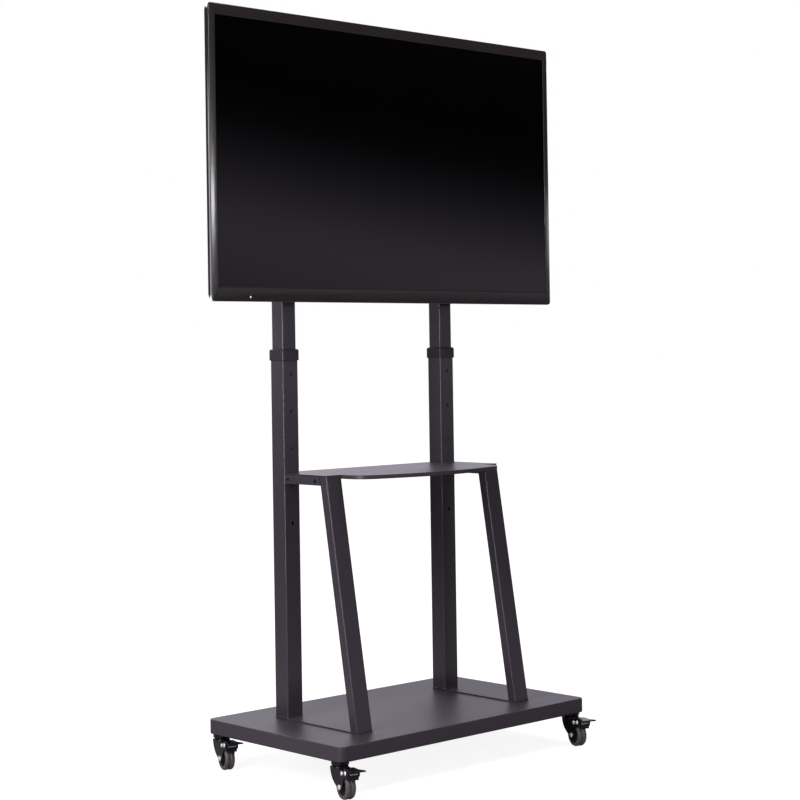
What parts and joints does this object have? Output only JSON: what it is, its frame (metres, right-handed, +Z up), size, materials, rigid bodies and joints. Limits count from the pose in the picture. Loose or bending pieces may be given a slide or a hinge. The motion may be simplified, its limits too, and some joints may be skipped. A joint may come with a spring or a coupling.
{
  "type": "mobile display stand",
  "caption": "Rolling stand for a flat display: low base on braked casters, telescoping posts with a hook-on bracket, and a shelf on trapezoid side frames.",
  "frame": {"origin": "on the floor, under the middle of the object's bounding box", "axes": "+Z up; the display faces -Y; +X is to the right for someone who looks at the screen"},
  "size_m": [1.244, 0.5951, 1.9645],
  "materials": {
    "base_powder_coat": "fine-texture black powder coat",
    "bezel_plastic": "moulded, satin gloss",
    "black_plastic": "moulded, matt",
    "caster_black": "black, semi-gloss",
    "chassis_sheet": "bare sheet",
    "clear_edge": "clear, polished",
    "lamp_window": "clear window",
    "screen_glass": "black screen, soft gloss",
    "tube_powder_coat": "fine-texture charcoal powder coat",
    "tyre_grey": "grey translucent elastomer",
    "zinc_steel": "bright plated"
  },
  "bodies": {
    "stand": {"base_crossmember_left": "base_powder_coat", "base_crossmember_right": "base_powder_coat", "base_pan": "base_powder_coat", "base_rail_back": "base_powder_coat", "base_rail_front": "base_powder_coat", "caster_stem_back_left": "caster_black", "caster_stem_back_right": "caster_black", "caster_stem_front_left": "caster_black", "caster_stem_front_right": "caster_black", "collar_left": "black_plastic", "collar_right": "black_plastic", "foot_strip_left": "tube_powder_coat", "foot_strip_right": "tube_powder_coat", "front_leg_left": "tube_powder_coat", "front_leg_right": "tube_powder_coat", "lock_bolt_left": "zinc_steel", "lock_bolt_right": "zinc_steel", "outer_post_left": "tube_powder_coat", "outer_post_right": "tube_powder_coat", "shelf": "tube_powder_coat", "shelf_arm_left": "tube_powder_coat", "shelf_arm_right": "tube_powder_coat", "shelf_bolt_back_left": "caster_black", "shelf_bolt_back_right": "caster_black", "shelf_bolt_front_left": "caster_black", "shelf_bolt_front_right": "caster_black"},
    "mast": {"cross_rail_lower": "tube_powder_coat", "cross_rail_upper": "tube_powder_coat", "inner_post_left": "tube_powder_coat", "inner_post_right": "tube_powder_coat", "post_cap_left": "black_plastic", "post_cap_right": "black_plastic"},
    "display": {"bracket_arm_left": "tube_powder_coat", "bracket_arm_right": "tube_powder_coat", "display_bezel": "bezel_plastic", "display_chassis": "chassis_sheet", "display_edge_band": "clear_edge", "display_rear_cover": "bezel_plastic", "screen_panel": "screen_glass", "status_light": "lamp_window"},
    "swivel_front_left": {"caster_fork_front_left": "caster_black", "axle_bolt_front_left": "zinc_steel"},
    "wheel_front_left": {"tyre_front_left": "tyre_grey", "wheel_hub_front_left": "black_plastic"},
    "pedal_front_left": {"brake_pedal_front_left": "caster_black"},
    "swivel_front_right": {"caster_fork_front_right": "caster_black", "axle_bolt_front_right": "zinc_steel"},
    "wheel_front_right": {"tyre_front_right": "tyre_grey", "wheel_hub_front_right": "black_plastic"},
    "pedal_front_right": {"brake_pedal_front_right": "caster_black"},
    "swivel_back_left": {"caster_fork_back_left": "caster_black", "axle_bolt_back_left": "zinc_steel"},
    "wheel_back_left": {"tyre_back_left": "tyre_grey", "wheel_hub_back_left": "black_plastic"},
    "pedal_back_left": {"brake_pedal_back_left": "caster_black"},
    "swivel_back_right": {"caster_fork_back_right": "caster_black", "axle_bolt_back_right": "zinc_steel"},
    "wheel_back_right": {"tyre_back_right": "tyre_grey", "wheel_hub_back_right": "black_plastic"},
    "pedal_back_right": {"brake_pedal_back_right": "caster_black"}
  },
  "joints": [
    {"name": "mast_height", "type": "slide", "parent": "stand", "child": "mast", "axis": [0, 0, 1], "range_m": [-0.294, 0.098]},
    {"name": "display_lift_off", "type": "slide", "parent": "mast", "child": "display", "axis": [0, 0, 1], "range_m": [0, 0.03]},
    {"name": "swivel_front_left", "type": "hinge", "parent": "stand", "child": "swivel_front_left", "pos_m": [-0.426, -0.2035, 0.089], "axis": [0, 0, 1], "continuous": true},
    {"name": "wheel_front_left", "type": "hinge", "parent": "swivel_front_left", "child": "wheel_front_left", "pos_m": [-0.43326, -0.23261, 0.0315], "axis": [0.9703, -0.2419, 0], "continuous": true},
    {"name": "pedal_front_left", "type": "hinge", "parent": "swivel_front_left", "child": "pedal_front_left", "pos_m": [-0.43568, -0.24231, 0.0678], "axis": [0.9703, -0.2419, 0], "range_deg": [0, 14]},
    {"name": "swivel_front_right", "type": "hinge", "parent": "stand", "child": "swivel_front_right", "pos_m": [0.426, -0.2035, 0.089], "axis": [0, 0, 1], "continuous": true},
    {"name": "wheel_front_right", "type": "hinge", "parent": "swivel_front_right", "child": "wheel_front_right", "pos_m": [0.41723, -0.23219, 0.0315], "axis": [0.9563, -0.2924, 0], "continuous": true},
    {"name": "pedal_front_right", "type": "hinge", "parent": "swivel_front_right", "child": "pedal_front_right", "pos_m": [0.4143, -0.24175, 0.0678], "axis": [0.9563, -0.2924, 0], "range_deg": [0, 14]},
    {"name": "swivel_back_left", "type": "hinge", "parent": "stand", "child": "swivel_back_left", "pos_m": [-0.426, 0.2675, 0.089], "axis": [0, 0, 1], "continuous": true},
    {"name": "wheel_back_left", "type": "hinge", "parent": "swivel_back_left", "child": "wheel_back_left", "pos_m": [-0.43427, 0.23866, 0.0315], "axis": [0.9613, -0.2756, 0], "continuous": true},
    {"name": "pedal_back_left", "type": "hinge", "parent": "swivel_back_left", "child": "pedal_back_left", "pos_m": [-0.43702, 0.22905, 0.0678], "axis": [0.9613, -0.2756, 0], "range_deg": [0, 14]},
    {"name": "swivel_back_right", "type": "hinge", "parent": "stand", "child": "swivel_back_right", "pos_m": [0.426, 0.2675, 0.089], "axis": [0, 0, 1], "continuous": true},
    {"name": "wheel_back_right", "type": "hinge", "parent": "swivel_back_right", "child": "wheel_back_right", "pos_m": [0.41773, 0.23866, 0.0315], "axis": [0.9613, -0.2756, 0], "continuous": true},
    {"name": "pedal_back_right", "type": "hinge", "parent": "swivel_back_right", "child": "pedal_back_right", "pos_m": [0.41497, 0.22905, 0.0678], "axis": [0.9613, -0.2756, 0], "range_deg": [0, 14]}
  ]
}
